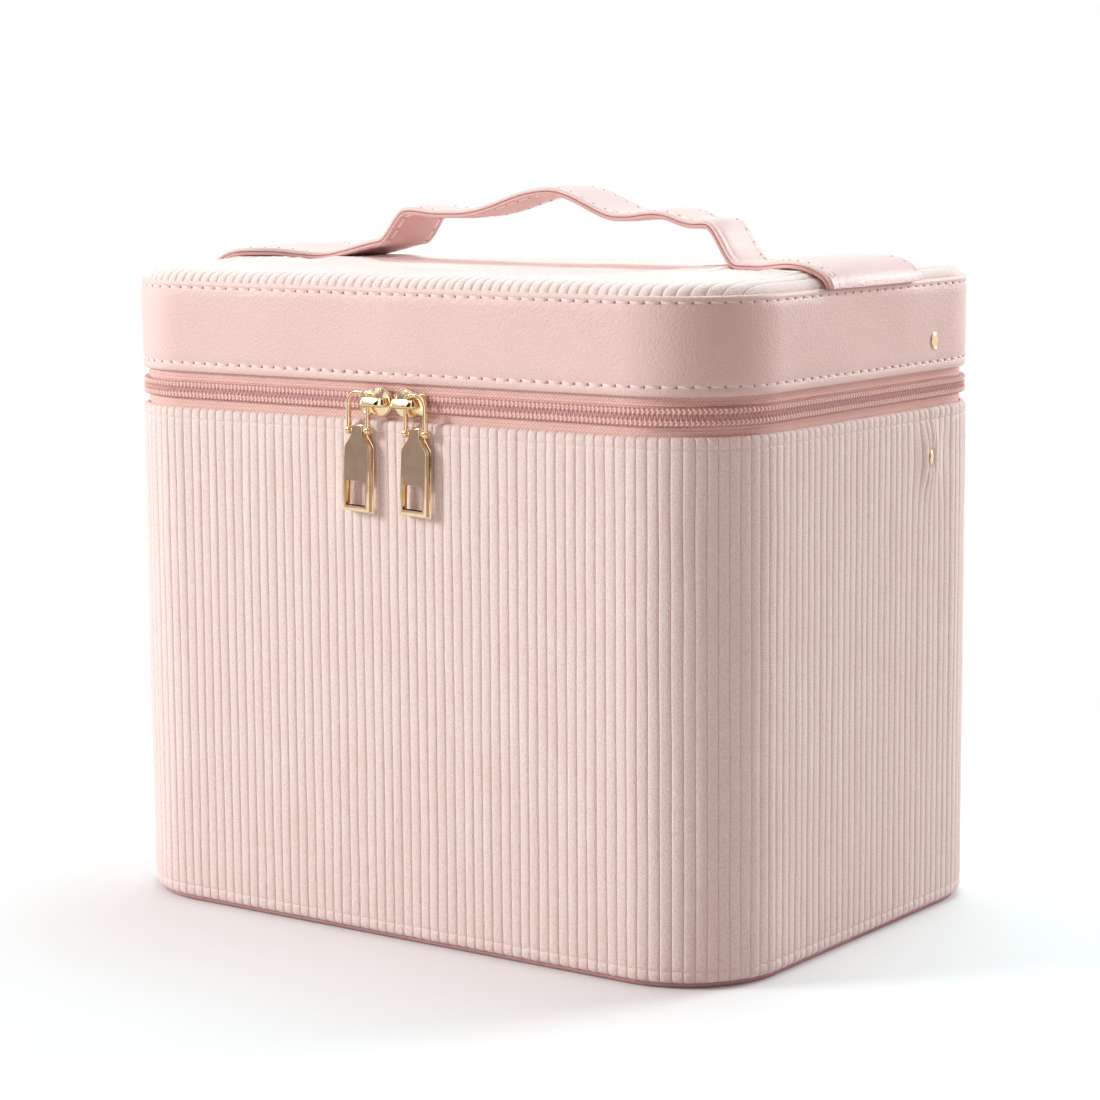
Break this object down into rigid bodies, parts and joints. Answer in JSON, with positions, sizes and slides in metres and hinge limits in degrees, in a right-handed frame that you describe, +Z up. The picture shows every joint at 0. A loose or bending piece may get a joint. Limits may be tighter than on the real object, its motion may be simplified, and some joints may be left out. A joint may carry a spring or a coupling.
{
  "type": "makeup train case",
  "caption": "Rounded box case for make-up with a zipped hinged lid, folding lid stays, carrying strap, mirror and padded dividers.",
  "frame": {"origin": "on the resting surface, under the middle of the case's outline", "axes": "+X to the right along the long side, +Y from the zipped front to the folded back, +Z up"},
  "size_m": [0.2564, 0.1846, 0.2426],
  "materials": {
    "corduroy": "wide-wale corduroy, velvety",
    "pu_leather": "fine-grained coated leather, satin",
    "board": "raw fibreboard",
    "lining": "brushed lining cloth",
    "divider_fabric": "brushed lining cloth over foam",
    "foam": "open foam",
    "zip_tape": "woven tape",
    "zip_coil": "nylon",
    "mirror_glass": "polished",
    "mirror_frame": "fine-grained coated leather",
    "gold_metal": "polished pale gold plate",
    "stay_metal": "satin gold plate"
  },
  "bodies": {
    "case": {"base_cover": "pu_leather", "base_board": "board", "body_board": "board", "body_cover": "corduroy", "body_lining": "lining", "floor_pad": "lining", "divider_long": "divider_fabric", "divider_front_left": "divider_fabric", "divider_front_right": "divider_fabric", "divider_rear": "divider_fabric", "body_zip_tape": "zip_tape", "body_zip_coil": "zip_coil", "body_rivet_left": "gold_metal", "body_rivet_right": "gold_metal", "fold_strip_lower": "pu_leather"},
    "lid": {"lid_board": "board", "lid_panel": "board", "lid_band": "pu_leather", "lid_top_pad": "foam", "lid_top_cover": "corduroy", "lid_lining": "lining", "mirror": "mirror_glass", "mirror_frame": "mirror_frame", "strap_top_strip": "pu_leather", "strap_under_strip": "pu_leather", "lid_zip_tape": "zip_tape", "lid_zip_coil": "zip_coil", "lid_rivet_left": "gold_metal", "lid_rivet_right": "gold_metal", "fold_strip_upper": "pu_leather"},
    "slider_left": {"slider_left": "gold_metal"},
    "ring_left": {"ring_left": "gold_metal"},
    "tab_left": {"tab_left": "gold_metal", "tab_pin_left": "gold_metal"},
    "stay_lower_left": {"stay_lower_left": "stay_metal", "stay_pin_left": "stay_metal"},
    "stay_upper_left": {"stay_upper_left": "stay_metal"},
    "slider_right": {"slider_right": "gold_metal"},
    "ring_right": {"ring_right": "gold_metal"},
    "tab_right": {"tab_right": "gold_metal", "tab_pin_right": "gold_metal"},
    "stay_lower_right": {"stay_lower_right": "stay_metal", "stay_pin_right": "stay_metal"},
    "stay_upper_right": {"stay_upper_right": "stay_metal"}
  },
  "joints": [
    {"name": "lid_hinge", "type": "hinge", "parent": "case", "child": "lid", "pos_m": [0, 0.08965, 0.176], "axis": [-1, 0, 0], "range_deg": [0, 100]},
    {"name": "slider_left_slide", "type": "slide", "parent": "case", "child": "slider_left", "axis": [-1, 0, 0], "range_m": [0, 0.074]},
    {"name": "ring_left_swing", "type": "hinge", "parent": "slider_left", "child": "ring_left", "pos_m": [-0.0055, -0.0921, 0.176], "axis": [0, 0, 1], "range_deg": [0, 90]},
    {"name": "tab_left_swing", "type": "hinge", "parent": "ring_left", "child": "tab_left", "pos_m": [-0.0094, -0.0921, 0.1668], "axis": [-1, 0, 0], "range_deg": [0, 120]},
    {"name": "stay_lower_left_pivot", "type": "hinge", "parent": "case", "child": "stay_lower_left", "pos_m": [-0.11865, 0.039, 0.1537], "axis": [-1, 0, 0], "range_deg": [0, 100]},
    {"name": "stay_upper_left_pivot", "type": "hinge", "parent": "lid", "child": "stay_upper_left", "pos_m": [-0.11865, 0.042, 0.192], "axis": [-1, 0, 0], "range_deg": [-100, 0]},
    {"name": "slider_right_slide", "type": "slide", "parent": "case", "child": "slider_right", "axis": [1, 0, 0], "range_m": [0, 0.074]},
    {"name": "ring_right_swing", "type": "hinge", "parent": "slider_right", "child": "ring_right", "pos_m": [0.0099, -0.0921, 0.176], "axis": [0, 0, -1], "range_deg": [0, 90]},
    {"name": "tab_right_swing", "type": "hinge", "parent": "ring_right", "child": "tab_right", "pos_m": [0.0138, -0.0921, 0.1668], "axis": [-1, 0, 0], "range_deg": [0, 120]},
    {"name": "stay_lower_right_pivot", "type": "hinge", "parent": "case", "child": "stay_lower_right", "pos_m": [0.11865, 0.039, 0.1537], "axis": [-1, 0, 0], "range_deg": [0, 100]},
    {"name": "stay_upper_right_pivot", "type": "hinge", "parent": "lid", "child": "stay_upper_right", "pos_m": [0.11865, 0.042, 0.192], "axis": [-1, 0, 0], "range_deg": [-100, 0]}
  ],
  "couplings": [
    {"joint": "stay_lower_left_pivot", "follows": "lid_hinge", "ratio": 1},
    {"joint": "stay_upper_left_pivot", "follows": "lid_hinge", "ratio": -1},
    {"joint": "stay_lower_right_pivot", "follows": "lid_hinge", "ratio": 1},
    {"joint": "stay_upper_right_pivot", "follows": "lid_hinge", "ratio": -1}
  ]
}
